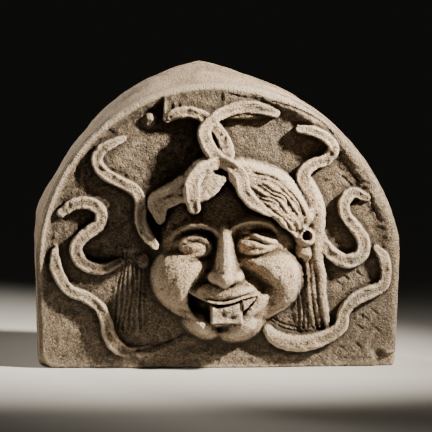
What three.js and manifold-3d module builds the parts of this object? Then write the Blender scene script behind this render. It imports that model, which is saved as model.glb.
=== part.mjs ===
// A carved stone lunette block: a gorgon's head in high relief, ringed by eight snakes, on a sunk field.
// Millimetres, +Z up, the carved face towards -Y. One piece of stone, so one solid.
import * as THREE from "three";
import { mergeVertices } from "three/addons/utils/BufferGeometryUtils.js";
import Module from "manifold-3d";

const wasm = await Module();
wasm.setup();

// The block.
const BLOCK_WIDTH = 432;
const SPRING_HEIGHT = 128;
const BLOCK_DEPTH = 120;
const EDGE_ROUND = 3;
const RIM_WIDTH = 11;
const COVE_WIDTH = 15;
const ARCH_RIM_RISE = 9;
const FOOT_RISE = 6;
const CORNER_RISE = 2;

// The head. Levels and lifts are millimetres out of the field or out of the face.
const FACE_HEIGHT = 200;
const NOSE_HEIGHT = 118;
const FACE_OFFSET = 5;
const HAIR_WIDTH = 50;
const HAIR_CROWN = 14;
const HAIR_LIFT = 6;
const HAIR_WAVE = 1.6;
const HAIR_LOCKS = 5;
const SIDE_LOCKS = 5;
const LOCK_SPREAD = 7;
const LOCK_WAVE = 1;
const GROOVE_DEPTH = 4;
const BROW_THICKNESS = 9;
const LID_THICKNESS = 5;
const LID_LIFT = 1.2;
const LIP_THICKNESS = 9;
const UPPER_LIP_SINK = 1;
const LOWER_LIP_SINK = 2;
const LIP_LEVEL = 54;
const MOUTH_DEPTH = 24;
const FANG_THICKNESS = 12;
const EAR_LEVEL = 24;
const DRILL_DIAMETER = 13;
const DRILL_DEPTH = 18;

// The snakes.
const SNAKE_THICKNESS = 17;

// How deep the carved parts are rooted in the stone behind the field.
const ROOT_DEPTH = 12;

// How finely the solid is faceted.
const ARCH_STEPS = 40;
const LEG_STEPS = 3;
const BASE_STEPS = 8;
const HEAD_SPOKES = 56;
const HEAD_RINGS = 18;
const SNAKE_STEP = 13;
const LINE_SIDES = 6;
const BROW_STEPS = 8;
const LID_STEPS = 6;
const LIP_STEPS = 10;
const MOUTH_STEPS = 12;
const FURROW_STEPS = 12;
const LUMP_SIDES = 10;
const LUMP_RINGS = 8;

// Sizes worked out from the ones above.
const HALF_WIDTH = BLOCK_WIDTH / 2;
const FRONT_HEIGHT = SPRING_HEIGHT + HALF_WIDTH;
const FACE_UNIT = FACE_HEIGHT / 100;
const ROOT = ROOT_DEPTH / FACE_UNIT;
const EDGE_UNIT = HALF_WIDTH / 100;

// How far the edge of the block stands out of its plain arch, in hundredths of the half width, by the angle
// in degrees round the springing centre from the right side. The front edge is nearly true, the back one worn
// and pointed.
const FRONT_EDGE = [[0, 1], [8, 1.5], [20, 0], [160, 0], [180, 1]];
const BACK_EDGE = [
  [0, 1], [20, 0], [60, 0], [81, 2.3], [94, 7.9], [110, 3],
  [125, 1.4], [138, -1.9], [153, -2.3], [167, 1.4], [180, -1.4],
];

// Where the arch's border fades in above the legs, and where the foot's border fades out upwards, as shares
// of the springing height, and where the foot's border fades out sideways, as shares of the half width.
const ARCH_RIM_FADE = [0.5, 1.3];
const FOOT_RIM_FADE = 0.4;
const FOOT_RIM_SPAN = [0.45, 0.9];

// The face, hair masses and hollows. Places are hundredths of the face's height from the nose's foot, and
// heights are in the same hundredths above the field.
const MASSES = [
  { at: [1.8, 23.5], size: [42, 36], rise: 23, power: 0.42, blend: 0 },
  { at: [2.2, -5], size: [45, 33.5], rise: 23.5, power: 0.4, blend: 7 },
  { at: [0.5, -19], size: [31, 18.5], base: 10, rise: 18, blend: 7 },
  { at: [1.8, 34], size: [30, 19], base: 10, rise: 16, blend: 7 },
  { at: [-24, -3], size: [18, 22.5], base: 9, rise: 20, tilt: -0.25, blend: 7 },
  { at: [28.5, -3], size: [18.5, 22.5], base: 9, rise: 20, tilt: 0.25, blend: 7 },
];
const HOLLOWS = [
  { at: [-16.5, 17.5], size: [13, 9], depth: 6 },
  { at: [19.5, 18.5], size: [13, 9], depth: 6 },
  { at: [-7, 16], size: [4, 8.5], depth: 4.5 },
  { at: [10, 17], size: [4, 8.5], depth: 4.5 },
  { at: [0, 27], size: [5, 4.5], depth: -2.5 },
];
const FURROWS = [
  { width: 4, depth: 5, points: [[-9.5, 1.5], [-15.5, -2.5], [-21.5, -7], [-23, -13], [-22.5, -18]] },
  { width: 4.2, depth: 6, points: [[9, 2], [16.5, -0.5], [23.5, -4], [28, -8], [26.5, -11.5]] },
];
const FEATURES = [
  { at: [-16.2, 16.5], size: [10, 7], base: 16, rise: 9.5, blend: 1 },
  { at: [19.5, 17.3], size: [11, 7.3], base: 16, rise: 9.5, tilt: 0.06, blend: 1 },
  { at: [0, -10.5], size: [17, 7.5], base: 20, rise: 10.5, blend: 4 },
  { at: [0.5, -3.5], size: [6, 5.5], base: 31, rise: 9, blend: 3 },
  { at: [-6.7, -3.2], size: [4.7, 4.2], base: 27, rise: 6.5, blend: 2.5 },
  { at: [7.7, -3.2], size: [4.7, 4.2], base: 27, rise: 6.5, blend: 2.5 },
  { at: [-11.5, -32.5], size: [8, 5], base: 19, rise: 10, tilt: -0.35, blend: 3 },
  { at: [11, -33], size: [10, 6], base: 19, rise: 10, tilt: 0.4, blend: 3 },
];
const NOSE_RIDGE = [[0, 28], [0, 20], [0.2, 12], [0.5, 5], [0.5, -1]];
const NOSE_RISE = [26, 28, 30.5, 33, 38];
const NOSE_ROUND = [1.5, 1.6, 1.8, 2.4, 3];
const NOSE_SLOPE = 1.7;
const DOME_SKIRT = 4;

// The head's mesh is a fan of rings round this place. Each spoke runs out from the least reach to where the
// head meets the field, and a little below it, and the rings lie closer towards the edge.
const HEAD_CENTRE = [0.5, 4];
const LEAST_REACH = 20;
const REACH_STEP = 0.25;
const FIELD_TUCK = 1;
const RING_SPREAD = 1.3;

// The two hair masses, from the parting down to the temples: place, height, and share of the full width.
const HAIR_MASSES = [
  {
    side: -1,
    line: [[-1.5, 55.5, 22], [-10.5, 54, 24], [-21.5, 49, 24], [-31.5, 41, 20], [-38.5, 33, 15], [-41.5, 24, 10]],
  },
  {
    side: 1,
    line: [[4.5, 58, 22], [14.5, 56, 25], [26.5, 49, 25], [36.5, 40, 22], [43.5, 30, 17], [46, 21, 12]],
  },
];
const HAIR_SPREAD = [0.55, 0.95, 1, 0.85, 0.45];
const HAIR_WAVES = 18;
const HAIR_STEPS = 12;

// The ends of a band of locks run on by this share of a step, down into the stone.
const END_TAPER = 0.2;
const END_MIDDLE = 0.75;

// Carved lines of the face, in the same hundredths.
const BROWS = [
  [[-31.5, 20], [-26, 26], [-18.5, 29], [-10.5, 28.2], [-4, 23]],
  [[4.5, 24], [9.5, 29.5], [17.5, 32.7], [25.5, 31.5], [32, 25.5], [33, 20]],
];
const LIDS = [
  [[-24.5, 15.3], [-21.5, 18.8], [-16.2, 20.7], [-10.5, 19.5], [-7.5, 15.5]],
  [[-24, 13.5], [-20, 11], [-14.5, 10.5], [-9.5, 12], [-7, 15]],
  [[10.5, 17], [13.5, 20.5], [19, 22.5], [25, 20.2], [30.5, 16]],
  [[11.2, 15], [14.5, 12.7], [19.5, 11.8], [25, 12.5], [29.5, 15]],
];
const MOUTH_TOP = [
  [-22.5, -12], [-16.5, -14.6], [-10.5, -16.5], [-1.5, -17.6],
  [6.5, -16.5], [12.5, -14.6], [20, -12.8], [24.5, -11.5],
];
const MOUTH_FOOT = [
  [24.5, -11.5], [20, -17], [13.5, -23], [9, -28], [0.5, -31],
  [-8.5, -29.2], [-15.2, -26.2], [-20, -22], [-22.5, -12],
];
const UPPER_LIP = [
  [-23, -10], [-16, -12.2], [-9.5, -14], [-1, -15.2],
  [6, -14.2], [12.5, -12.2], [19.5, -10.2], [25.5, -9.5],
];
const LOWER_LIP = [
  [-24, -14], [-22.5, -23], [-17, -29], [-9, -32.2], [0.5, -34],
  [10, -31], [15.5, -25.5], [22, -19.5], [27.5, -13],
];
const LINE_END = 0.55;

// Each snake runs from its head in a few bends, each a length and a turn in degrees. Places and lengths are
// hundredths of the block's half width across, and as many parts of the front's height upwards.
// Rise is the height of its middle above the field, and girth its thickness, at even steps along it.
const FRONT_IN_UNITS = 159;
const SNAKE_UNIT = HALF_WIDTH / 100;
const SNAKE_UNIT_UP = FRONT_HEIGHT / FRONT_IN_UNITS;
const SNAKES = [
  {
    start: [-31, 141], heading: 31, bends: [[47, -115], [10, -92], [34, 109]],
    rise: [5.6, 7.4, 9.3, 14.8, 20.4, 24.1], girth: [0.6, 0.95, 0.9, 0.9, 0.9, 0.5],
  },
  {
    start: [33, 143], heading: 152, bends: [[38, 65], [22, 105], [21, -21], [26, 31]],
    rise: [4.2, 6, 9.7, 15.3, 21.3, 25], girth: [0.6, 1, 0.9, 0.95, 1, 0.5],
  },
  {
    start: [-53, 128], heading: 162, bends: [[36, 189], [26, -85], [22, 68]],
    rise: [2.3, 3.7, 3.7, 4.4, 6, 13], girth: [0.5, 0.9, 0.95, 0.95, 0.95, 0.6],
  },
  {
    start: [-87, 88], heading: 48, bends: [[16, -53], [23, -160], [26, 142], [20, 67]],
    rise: [3.2, 3.7, 3.7, 3.7, 3.7, 4.2], girth: [0.7, 1, 1, 1, 1, 0.8],
  },
  {
    start: [-90, 69], heading: -109, bends: [[34, 91], [25, -69], [18, 84], [36, 29]],
    rise: [2.3, 3.7, 3.7, 3.7, 4.6, 11], girth: [0.5, 0.95, 0.95, 0.95, 0.95, 1],
  },
  {
    start: [46, 133], heading: -2, bends: [[13, -20], [22, -158], [20, 129], [30, -64]],
    rise: [3.2, 4, 4.2, 5, 8, 9.3], girth: [0.65, 0.9, 0.95, 1.1, 1.15, 0.8],
  },
  {
    start: [84, 96], heading: 150, bends: [[30, 188], [37, -201], [18, -34]],
    rise: [1.9, 3.7, 3.7, 3.7, 4, 5.5], girth: [0.65, 0.95, 1.05, 1.1, 1.05, 0.9],
  },
  {
    start: [89, 66], heading: -31, bends: [[35, -146], [12, 71], [62, -135]],
    rise: [2.8, 3.7, 4.2, 5, 7.5, 13], girth: [0.5, 0.9, 1, 1.05, 1.15, 1.1],
  },
];

// A snake's section: places across it and out of its middle, as shares of its radius, over a narrower foot.
const SNAKE_PROFILE = [[-1, 0], [-0.62, 0.82], [0, 0.6], [0.62, 0.82], [1, 0]];
const SNAKE_FOOT = 0.85;
const SNAKE_END = 0.4;

// Side locks hang from behind the ears to the foot of the block, between these two places on each side.
const LOCK_SIDES = [
  { side: -1, from: -61.5, to: -43 },
  { side: 1, from: 43, to: 61 },
];
const LOCK_ENDS = [13, -41];
const LOCK_RISE = [4, 7, 6.5, 5, 2];
const LOCK_HANG = 0.4;
const LOCK_WAVES = 12;
const LOCK_STEPS = 8;
const EARS = [
  { at: [-48.5, 8], size: [4.5, 6.5], rise: 6, tilt: -0.2, depth: 2 },
  { at: [49.5, 12], size: [4.8, 7], rise: 9, tilt: 0.15, depth: 2 },
  { at: [51, 33], size: [4.5, 6.8], rise: 9, tilt: -0.35, depth: 4 },
];
const DRILL_AT = [50.9, 21.8];
const TONGUE = { at: [3, -26.5], size: [8.5, 8], rise: 15, tilt: 0, depth: 14 };
const TEETH = [
  { at: [-1.9, -20.5], size: [3.5, 4.4], rise: 30 },
  { at: [5.4, -20], size: [3.5, 4.4], rise: 30 },
];
const TOOTH_SEAT = 1;
const FANG = [[15.5, -14.5, 27], [13.5, -19, 28], [11.5, -24.5, 27]];
const FANG_TAPER = [1, 0.8, 0.3];
const SWEEP_END = 0.3;

// Small helpers.

function smoothMax(a, b, blend) {
  if (blend === 0) {
    return Math.max(a, b);
  }
  const near = Math.max(blend - Math.abs(a - b), 0) / blend;
  return Math.max(a, b) + (near * near * blend) / 4;
}

// The value at a share from 0 to 1 along evenly spaced values.
function along(values, share) {
  const place = Math.min(Math.max(share, 0), 1) * (values.length - 1);
  const first = Math.min(Math.floor(place), values.length - 2);
  return THREE.MathUtils.lerp(values[first], values[first + 1], place - first);
}

// The value at a place in a list of [place, value] pairs.
function lookUp(pairs, place) {
  const next = Math.max(1, pairs.findIndex((pair) => pair[0] >= place));
  const [low, high] = [pairs[next - 1], pairs[next]];
  return THREE.MathUtils.mapLinear(place, low[0], high[0], low[1], high[1]);
}

function smoothCurve(points, count) {
  const curve = new THREE.CatmullRomCurve3(points.map(([u, v, w = 0]) => new THREE.Vector3(u, v, w)));
  return curve.getSpacedPoints(count);
}

// Distance from a place to a run of points, and the share along the run where it is nearest.
function nearest(run, u, v) {
  let best = Infinity;
  let share = 0;
  for (let i = 0; i < run.length - 1; i++) {
    const [du, dv] = [run[i + 1].x - run[i].x, run[i + 1].y - run[i].y];
    const t = THREE.MathUtils.clamp(((u - run[i].x) * du + (v - run[i].y) * dv) / (du * du + dv * dv), 0, 1);
    const distance = Math.hypot(u - run[i].x - t * du, v - run[i].y - t * dv);
    if (distance < best) {
      best = distance;
      share = (i + t) / (run.length - 1);
    }
  }
  return { distance: best, share };
}

function solid(geometry) {
  const bare = geometry.clone();
  bare.deleteAttribute("normal");
  bare.deleteAttribute("uv");
  const merged = mergeVertices(bare, 1e-4);
  return new wasm.Manifold(
    new wasm.Mesh({
      numProp: 3,
      vertProperties: new Float32Array(merged.attributes.position.array),
      triVerts: new Uint32Array(merged.index.array),
    }),
  );
}

function meshOf(points, faces) {
  const geometry = new THREE.BufferGeometry();
  geometry.setAttribute("position", new THREE.Float32BufferAttribute(points.flat(), 3));
  geometry.setIndex(faces.flat());
  return geometry;
}

function gap(a, b) {
  return Math.hypot(a[0] - b[0], a[1] - b[1], a[2] - b[2]);
}

// Rings of points closed into one body, each four-sided face split along its shorter diagonal, with a point
// at either end.
function loft(first, rings, last) {
  const count = rings[0].length;
  const points = [first, ...rings.flat(), last];
  const faces = [];
  for (let i = 0; i < count; i++) {
    const j = (i + 1) % count;
    faces.push([0, 1 + j, 1 + i]);
    for (let r = 0; r < rings.length - 1; r++) {
      const [a, b] = [1 + r * count, 1 + (r + 1) * count];
      if (gap(rings[r][i], rings[r + 1][j]) < gap(rings[r][j], rings[r + 1][i])) {
        faces.push([a + i, a + j, b + j], [a + i, b + j, b + i]);
      } else {
        faces.push([a + i, a + j, b + i], [a + j, b + j, b + i]);
      }
    }
    const tail = 1 + (rings.length - 1) * count;
    faces.push([tail + i, tail + j, points.length - 1]);
  }
  return solid(meshOf(points, faces));
}

// The height of the head and hair above the field, in hundredths of the face's height.

function dome(u, v, { at, size, base = 0, rise, power = 0.5, tilt = 0 }) {
  const [c, s] = [Math.cos(tilt), Math.sin(tilt)];
  const [du, dv] = [u - at[0], v - at[1]];
  const q = ((du * c + dv * s) / size[0]) ** 2 + ((-du * s + dv * c) / size[1]) ** 2;
  if (q < 1) {
    return base + rise * (1 - q) ** power;
  }
  return base - (Math.sqrt(q) - 1) * Math.min(...size) * DOME_SKIRT;
}

const furrowRuns = FURROWS.map((furrow) => ({ ...furrow, run: smoothCurve(furrow.points, FURROW_STEPS) }));
const noseRun = smoothCurve(NOSE_RIDGE, FURROW_STEPS);

function noseHeight(u, v) {
  const { distance, share } = nearest(noseRun, u, v);
  const round = along(NOSE_ROUND, share);
  return along(NOSE_RISE, share) - NOSE_SLOPE * (Math.hypot(distance, round) - round);
}

function faceHeight(u, v) {
  let height = -Infinity;
  for (const mass of MASSES) {
    height = smoothMax(height, dome(u, v, mass), mass.blend);
  }
  for (const { at, size, depth } of HOLLOWS) {
    height -= depth * Math.exp(-(((u - at[0]) / size[0]) ** 2) - ((v - at[1]) / size[1]) ** 2);
  }
  for (const { run, width, depth } of furrowRuns) {
    height -= depth * Math.exp(-((nearest(run, u, v).distance / width) ** 2));
  }
  height = smoothMax(height, noseHeight(u, v), 2);
  for (const feature of FEATURES) {
    height = smoothMax(height, dome(u, v, feature), feature.blend);
  }
  return height;
}

// From face hundredths to millimetres: across, out of the field, up.
function facePoint(u, v, w) {
  return [FACE_OFFSET + u * FACE_UNIT, -w * FACE_UNIT, NOSE_HEIGHT + v * FACE_UNIT];
}

// Solids.

// One place on the outline, drawn in from the edge: the foot, the right leg, the arch and the left leg.
function outline(inset, edge) {
  const half = HALF_WIDTH - inset;
  const points = [];
  for (let i = 0; i < BASE_STEPS; i++) {
    points.push([THREE.MathUtils.lerp(-half, half, i / BASE_STEPS), inset]);
  }
  for (let i = 0; i < LEG_STEPS; i++) {
    const share = i / LEG_STEPS;
    points.push([half + edge[0][1] * EDGE_UNIT * share, THREE.MathUtils.lerp(inset, SPRING_HEIGHT, share)]);
  }
  for (let i = 0; i <= ARCH_STEPS; i++) {
    const angle = (Math.PI * i) / ARCH_STEPS;
    const radius = half + lookUp(edge, THREE.MathUtils.radToDeg(angle)) * EDGE_UNIT;
    points.push([radius * Math.cos(angle), SPRING_HEIGHT + radius * Math.sin(angle)]);
  }
  for (let i = LEG_STEPS - 1; i > 0; i--) {
    const share = i / LEG_STEPS;
    const reach = half + edge.at(-1)[1] * EDGE_UNIT * share;
    points.push([-reach, THREE.MathUtils.lerp(inset, SPRING_HEIGHT, share)]);
  }
  return points;
}

// The raised border is full on the arch, low on the foot and nearly gone at the two lower corners.
function borderRise(x, z) {
  const up = THREE.MathUtils.smoothstep(z / SPRING_HEIGHT, ...ARCH_RIM_FADE);
  const middle = 1 - THREE.MathUtils.smoothstep(Math.abs(x) / HALF_WIDTH, ...FOOT_RIM_SPAN);
  const foot = middle * (1 - THREE.MathUtils.smoothstep(z / SPRING_HEIGHT, 0, FOOT_RIM_FADE));
  return CORNER_RISE + (ARCH_RIM_RISE - CORNER_RISE) * up + (FOOT_RISE - CORNER_RISE) * foot;
}

function block() {
  const ring = (inset, share) =>
    outline(inset, FRONT_EDGE).map(([x, z]) => [x, -borderRise(x, z) * share, z]);
  const back = outline(0, BACK_EDGE).map(([x, z]) => [x, BLOCK_DEPTH, z]);
  const worn = outline(0, FRONT_EDGE).map(([x, z]) => [x, EDGE_ROUND - borderRise(x, z), z]);
  const rings = [
    back,
    worn,
    ring(EDGE_ROUND, 1),
    ring(EDGE_ROUND + RIM_WIDTH, 1),
    ring(EDGE_ROUND + RIM_WIDTH + COVE_WIDTH, 0),
  ];
  return loft([0, BLOCK_DEPTH, SPRING_HEIGHT], rings, [0, 0, SPRING_HEIGHT]);
}

// The head and hair masses: points on rings round the nose, out to where the carving meets the field.
function head() {
  const place = ([across, up], reach) => [HEAD_CENTRE[0] + across * reach, HEAD_CENTRE[1] + up * reach];
  const edges = [];
  for (let spoke = 0; spoke < HEAD_SPOKES; spoke++) {
    const angle = (2 * Math.PI * spoke) / HEAD_SPOKES;
    const direction = [Math.cos(angle), Math.sin(angle)];
    let reach = LEAST_REACH;
    while (faceHeight(...place(direction, reach)) > -FIELD_TUCK) {
      reach += REACH_STEP;
    }
    edges.push({ direction, reach });
  }
  const sunk = edges.map(({ direction, reach }) => facePoint(...place(direction, reach), -ROOT));
  const tucked = edges.map(({ direction, reach }) => facePoint(...place(direction, reach), -FIELD_TUCK));
  const rings = [sunk, tucked];
  for (let ring = HEAD_RINGS - 1; ring > 0; ring--) {
    const share = 1 - (1 - ring / HEAD_RINGS) ** RING_SPREAD;
    rings.push(
      edges.map(({ direction, reach }) => {
        const [u, v] = place(direction, reach * share);
        return facePoint(u, v, faceHeight(u, v));
      }),
    );
  }
  return loft(facePoint(...HEAD_CENTRE, -ROOT), rings, facePoint(...HEAD_CENTRE, faceHeight(...HEAD_CENTRE)));
}

// A tapered round body along a run of millimetre points, with blunt ends.
function sweep(points, radii) {
  const run = points.map((point) => new THREE.Vector3(...point));
  const outward = new THREE.Vector3(0, -1, 0);
  const rings = run.map((point, i) => {
    const before = run[Math.max(i - 1, 0)];
    const after = run[Math.min(i + 1, run.length - 1)];
    const tangent = after.clone().sub(before).normalize();
    const across = new THREE.Vector3().crossVectors(outward, tangent).normalize();
    const out = new THREE.Vector3().crossVectors(tangent, across);
    return Array.from({ length: LINE_SIDES }, (_, side) => {
      const angle = (2 * Math.PI * (side + 0.5)) / LINE_SIDES;
      return point
        .clone()
        .addScaledVector(across, radii[i] * Math.cos(angle))
        .addScaledVector(out, radii[i] * Math.sin(angle))
        .toArray();
    });
  });
  const start = run[0].clone().lerp(run[1], -SWEEP_END).toArray();
  const end = run.at(-1).clone().lerp(run.at(-2), -SWEEP_END).toArray();
  return loft(start, rings, end);
}

// A raised line on the face, such as a brow, an eyelid or a lip, thinner towards both ends.
function faceLine(points, thickness, steps, lift) {
  const run = smoothCurve(points, steps);
  const places = run.map(({ x, y }) => facePoint(x, y, faceHeight(x, y) + lift / FACE_UNIT));
  const radii = run.map((_, i) => {
    return (thickness / 2) * THREE.MathUtils.lerp(LINE_END, 1, Math.sin((Math.PI * i) / steps));
  });
  return sweep(places, radii);
}

// A band of locks lying side by side: at each station a ridge to every lock, over a foot sunk in the stone.
// Both ends taper down into the stone.
function lockBand(stations, locks) {
  const groove = GROOVE_DEPTH / FACE_UNIT;
  const tapered = (station, next) => ({
    place: (across) => {
      const [here, on] = [station.place(across), next.place(across)];
      return [here[0] - (on[0] - here[0]) * END_TAPER, here[1] - (on[1] - here[1]) * END_TAPER];
    },
    top: () => -ROOT / 2,
    groove: 0,
  });
  const all = [
    tapered(stations[0], stations[1]),
    ...stations.map((station) => ({ ...station, groove })),
    tapered(stations.at(-1), stations.at(-2)),
  ];
  const rings = all.map((station) => {
    const ring = [facePoint(...station.place(-1), -ROOT)];
    for (let i = 0; i <= 2 * locks; i++) {
      const across = i / locks - 1;
      const cut = i % 2 === 0 ? station.groove : 0;
      ring.push(facePoint(...station.place(across), station.top(across) - cut));
    }
    ring.push(facePoint(...station.place(1), -ROOT));
    return ring;
  });
  const middle = (station) => facePoint(...station.place(0), -ROOT * END_MIDDLE);
  return loft(middle(all[0]), rings, middle(all.at(-1)));
}

function hairMass({ side, line }) {
  const run = smoothCurve(line, HAIR_STEPS);
  const stations = run.map((point, i) => {
    const share = i / HAIR_STEPS;
    const before = run[Math.max(i - 1, 0)];
    const after = run[Math.min(i + 1, HAIR_STEPS)];
    const [du, dv] = [after.x - before.x, after.y - before.y];
    const reach = (side * HAIR_WIDTH * along(HAIR_SPREAD, share)) / FACE_UNIT / 2 / Math.hypot(du, dv);
    const wave = (HAIR_WAVE / FACE_UNIT) * Math.sin(share * HAIR_WAVES);
    return {
      place: (across) => [point.x - dv * across * reach, point.y + du * across * reach + wave],
      top: (across) => point.z + (HAIR_LIFT - HAIR_CROWN * across ** 2) / FACE_UNIT,
    };
  });
  return lockBand(side > 0 ? stations.reverse() : stations, HAIR_LOCKS);
}

function sideLocks({ side, from, to }) {
  const stations = Array.from({ length: LOCK_STEPS + 1 }, (_, i) => {
    const share = i / LOCK_STEPS;
    const hang = side * LOCK_SPREAD * (share - LOCK_HANG) + LOCK_WAVE * Math.sin(share * LOCK_WAVES);
    return {
      place: (across) => [
        THREE.MathUtils.lerp(from, to, (across + 1) / 2) + hang / FACE_UNIT,
        THREE.MathUtils.lerp(...LOCK_ENDS, share),
      ],
      top: () => along(LOCK_RISE, share),
    };
  });
  return lockBand(stations.reverse(), SIDE_LOCKS);
}

// A snake: a furrowed body raised from the stone along its bends, over a foot rooted behind the field.
function snake({ start, heading, bends, rise, girth }) {
  const length = bends.reduce((sum, bend) => sum + bend[0], 0);
  let [u, v] = start;
  let angle = THREE.MathUtils.degToRad(heading);
  let walked = 0;
  const route = [{ u, v, share: 0 }];
  for (const [bendLength, turn] of bends) {
    const steps = Math.max(3, Math.round((bendLength * SNAKE_UNIT) / SNAKE_STEP));
    const halfTurn = THREE.MathUtils.degToRad(turn) / steps / 2;
    for (let i = 0; i < steps; i++) {
      angle += halfTurn;
      u += (bendLength / steps) * Math.cos(angle);
      v += (bendLength / steps) * Math.sin(angle);
      angle += halfTurn;
      walked += bendLength / steps;
      route.push({ u, v, share: walked / length });
    }
  }
  const stations = route.map(({ u, v, share }) => ({
    x: u * SNAKE_UNIT,
    z: v * SNAKE_UNIT_UP,
    middle: along(rise, share) * SNAKE_UNIT,
    radius: (SNAKE_THICKNESS / 2) * along(girth, share),
  }));
  const rings = stations.map(({ x, z, middle, radius }, i) => {
    const before = stations[Math.max(i - 1, 0)];
    const after = stations[Math.min(i + 1, stations.length - 1)];
    const step = Math.hypot(after.x - before.x, after.z - before.z);
    const [across, up] = [(after.z - before.z) / step, (before.x - after.x) / step];
    const place = (side, out) => [x + across * side * radius, -out, z + up * side * radius];
    return [
      place(-SNAKE_FOOT, -ROOT_DEPTH),
      ...SNAKE_PROFILE.map(([side, out]) => place(side, middle + out * radius)),
      place(SNAKE_FOOT, -ROOT_DEPTH),
    ];
  });
  const beyond = (end, next) => [
    THREE.MathUtils.lerp(end.x, next.x, -SNAKE_END),
    -end.middle / 2,
    THREE.MathUtils.lerp(end.z, next.z, -SNAKE_END),
  ];
  return loft(beyond(stations[0], stations[1]), rings, beyond(stations.at(-1), stations.at(-2)));
}

// A rounded lump, such as an ear or the tongue, with its middle at a depth of its own above the field.
function lump({ at, size, rise, tilt, depth }) {
  const shape = new THREE.SphereGeometry(1, LUMP_SIDES, LUMP_RINGS);
  shape.scale(size[0] * FACE_UNIT, rise * FACE_UNIT, size[1] * FACE_UNIT);
  shape.rotateY(tilt);
  shape.translate(...facePoint(...at, depth));
  return solid(shape);
}

// The floor of the mouth, in hundredths above the field.
const MOUTH_FLOOR = (LIP_LEVEL - MOUTH_DEPTH) / FACE_UNIT;

// A block of stone left standing in the mouth, seated in its floor.
function standing({ at, size, rise }) {
  const foot = MOUTH_FLOOR - TOOTH_SEAT;
  const shape = new THREE.BoxGeometry(2 * size[0], rise - foot, 2 * size[1]);
  shape.scale(FACE_UNIT, FACE_UNIT, FACE_UNIT);
  shape.translate(...facePoint(...at, (rise + foot) / 2));
  return solid(shape);
}

function mouthHollow() {
  const upper = smoothCurve(MOUTH_TOP, MOUTH_STEPS);
  const lower = smoothCurve(MOUTH_FOOT, MOUTH_STEPS);
  const shape = new THREE.Shape([...upper, ...lower.slice(1, -1)].map(({ x, y }) => new THREE.Vector2(x, y)));
  const depth = LIP_LEVEL / FACE_UNIT;
  const geometry = new THREE.ExtrudeGeometry(shape, { depth, bevelEnabled: false, curveSegments: 1 });
  geometry.scale(FACE_UNIT, FACE_UNIT, FACE_UNIT);
  geometry.rotateX(Math.PI / 2);
  geometry.translate(...facePoint(0, 0, MOUTH_FLOOR));
  return solid(geometry);
}

function drillHole() {
  const radius = DRILL_DIAMETER / 2;
  const shape = new THREE.CylinderGeometry(radius, radius, 2 * DRILL_DEPTH, LUMP_SIDES);
  shape.translate(...facePoint(...DRILL_AT, EAR_LEVEL / FACE_UNIT));
  return solid(shape);
}

function fang() {
  const radii = FANG_TAPER.map((share) => (FANG_THICKNESS / 2) * share);
  return sweep(FANG.map((place) => facePoint(...place)), radii);
}

function joined(parts) {
  return parts.reduce((whole, part) => whole.add(part));
}

let stone = block().add(head());
stone = stone.subtract(mouthHollow());
stone = joined([
  stone,
  lump(TONGUE),
  ...TEETH.map(standing),
  fang(),
  ...BROWS.map((brow) => faceLine(brow, BROW_THICKNESS, BROW_STEPS, 0)),
  ...LIDS.map((lid) => faceLine(lid, LID_THICKNESS, LID_STEPS, LID_LIFT)),
  faceLine(UPPER_LIP, LIP_THICKNESS, LIP_STEPS, -UPPER_LIP_SINK),
  faceLine(LOWER_LIP, LIP_THICKNESS, LIP_STEPS, -LOWER_LIP_SINK),
  ...HAIR_MASSES.map(hairMass),
  ...LOCK_SIDES.map(sideLocks),
  ...EARS.map(lump),
]);
stone = stone.subtract(drillHole());
stone = joined([stone, ...SNAKES.map(snake)]);

const carved = stone.getMesh();
const geometry = new THREE.BufferGeometry();
geometry.setAttribute("position", new THREE.BufferAttribute(new Float32Array(carved.vertProperties), 3));
geometry.setIndex(Array.from(carved.triVerts));
geometry.computeBoundingBox();

const relief = new THREE.Mesh(
  geometry,
  new THREE.MeshStandardMaterial({ color: 0xb3a68f, roughness: 0.85, metalness: 0 }),
);
relief.name = "gorgon_relief_block";
relief.position.y = -(geometry.boundingBox.min.y + geometry.boundingBox.max.y) / 2;

const model = new THREE.Group();
model.add(relief);

export default model;
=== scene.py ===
"""The look of a carved stone lunette block: a gorgon's head in high relief, ringed by eight snakes."""

import math

import bpy
import numpy as np
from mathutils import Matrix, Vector


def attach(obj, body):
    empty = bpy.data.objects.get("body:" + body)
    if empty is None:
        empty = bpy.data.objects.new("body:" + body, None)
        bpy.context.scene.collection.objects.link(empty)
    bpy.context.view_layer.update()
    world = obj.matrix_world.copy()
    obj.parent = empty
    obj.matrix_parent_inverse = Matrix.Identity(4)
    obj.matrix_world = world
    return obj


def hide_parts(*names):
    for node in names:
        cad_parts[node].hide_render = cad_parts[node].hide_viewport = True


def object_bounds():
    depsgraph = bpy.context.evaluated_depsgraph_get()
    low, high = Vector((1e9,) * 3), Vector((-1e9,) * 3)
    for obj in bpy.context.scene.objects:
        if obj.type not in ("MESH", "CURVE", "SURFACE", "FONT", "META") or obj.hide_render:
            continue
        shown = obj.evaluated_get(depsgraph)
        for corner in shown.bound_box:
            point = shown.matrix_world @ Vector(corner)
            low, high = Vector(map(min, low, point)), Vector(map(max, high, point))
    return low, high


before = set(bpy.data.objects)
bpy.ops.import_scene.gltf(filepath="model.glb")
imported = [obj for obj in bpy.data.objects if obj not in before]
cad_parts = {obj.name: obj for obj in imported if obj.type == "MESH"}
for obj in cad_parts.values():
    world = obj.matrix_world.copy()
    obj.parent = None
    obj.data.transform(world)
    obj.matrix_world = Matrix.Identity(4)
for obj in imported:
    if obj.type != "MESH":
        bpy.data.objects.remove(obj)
cad_low, cad_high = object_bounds()

# The block, in millimetres: x to the right, z up, and p out of the sunk field towards the viewer.
MM = 0.001
HALF_WIDTH = 216
SPRING = 128
DEPTH = 120
FIELD_Y = cad_high.y - DEPTH * MM

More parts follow.
